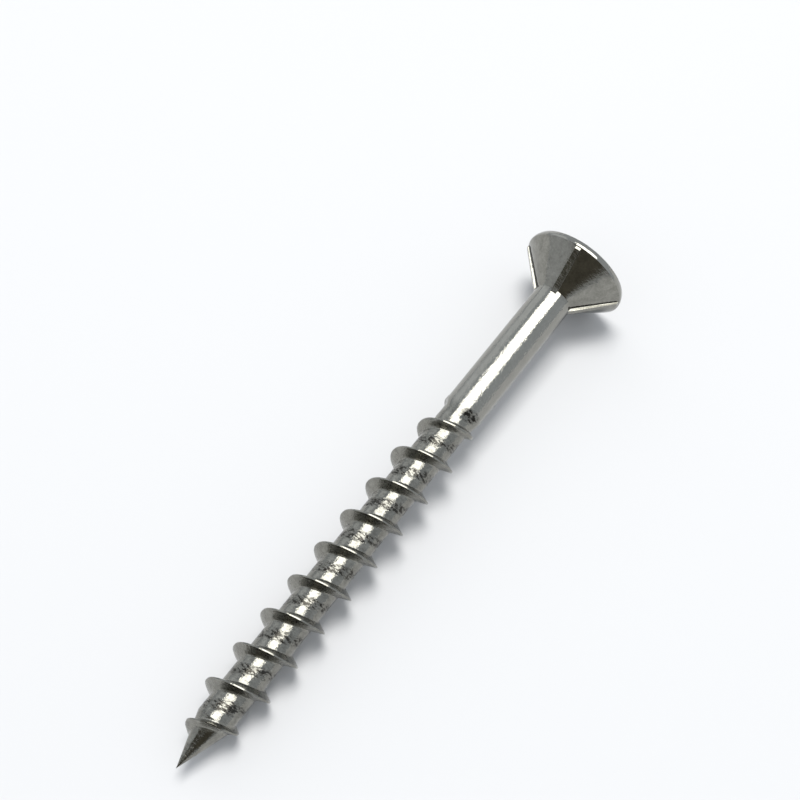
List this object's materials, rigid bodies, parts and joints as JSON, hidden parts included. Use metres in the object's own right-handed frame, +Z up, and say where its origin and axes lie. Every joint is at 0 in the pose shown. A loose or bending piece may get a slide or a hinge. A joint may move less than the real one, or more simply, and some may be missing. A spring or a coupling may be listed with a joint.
{
  "type": "countersunk wood screw",
  "caption": "Countersunk wood screw with a plain shank, a coarse thread, ribs under the head and a pinned six-lobe recess.",
  "frame": {"origin": "on the ground, under the middle of the screw's box as it lies on its side", "axes": "+X along the length towards the point, +Z up; the screw's axis drops 2.9 degrees towards the point, as it rests on the head's rim and the thread"},
  "size_m": [0.0518, 0.0092, 0.0091],
  "materials": {
    "steel": "bright rolled stainless steel"
  },
  "bodies": {
    "root": {"screw": "steel"}
  },
  "joints": []
}
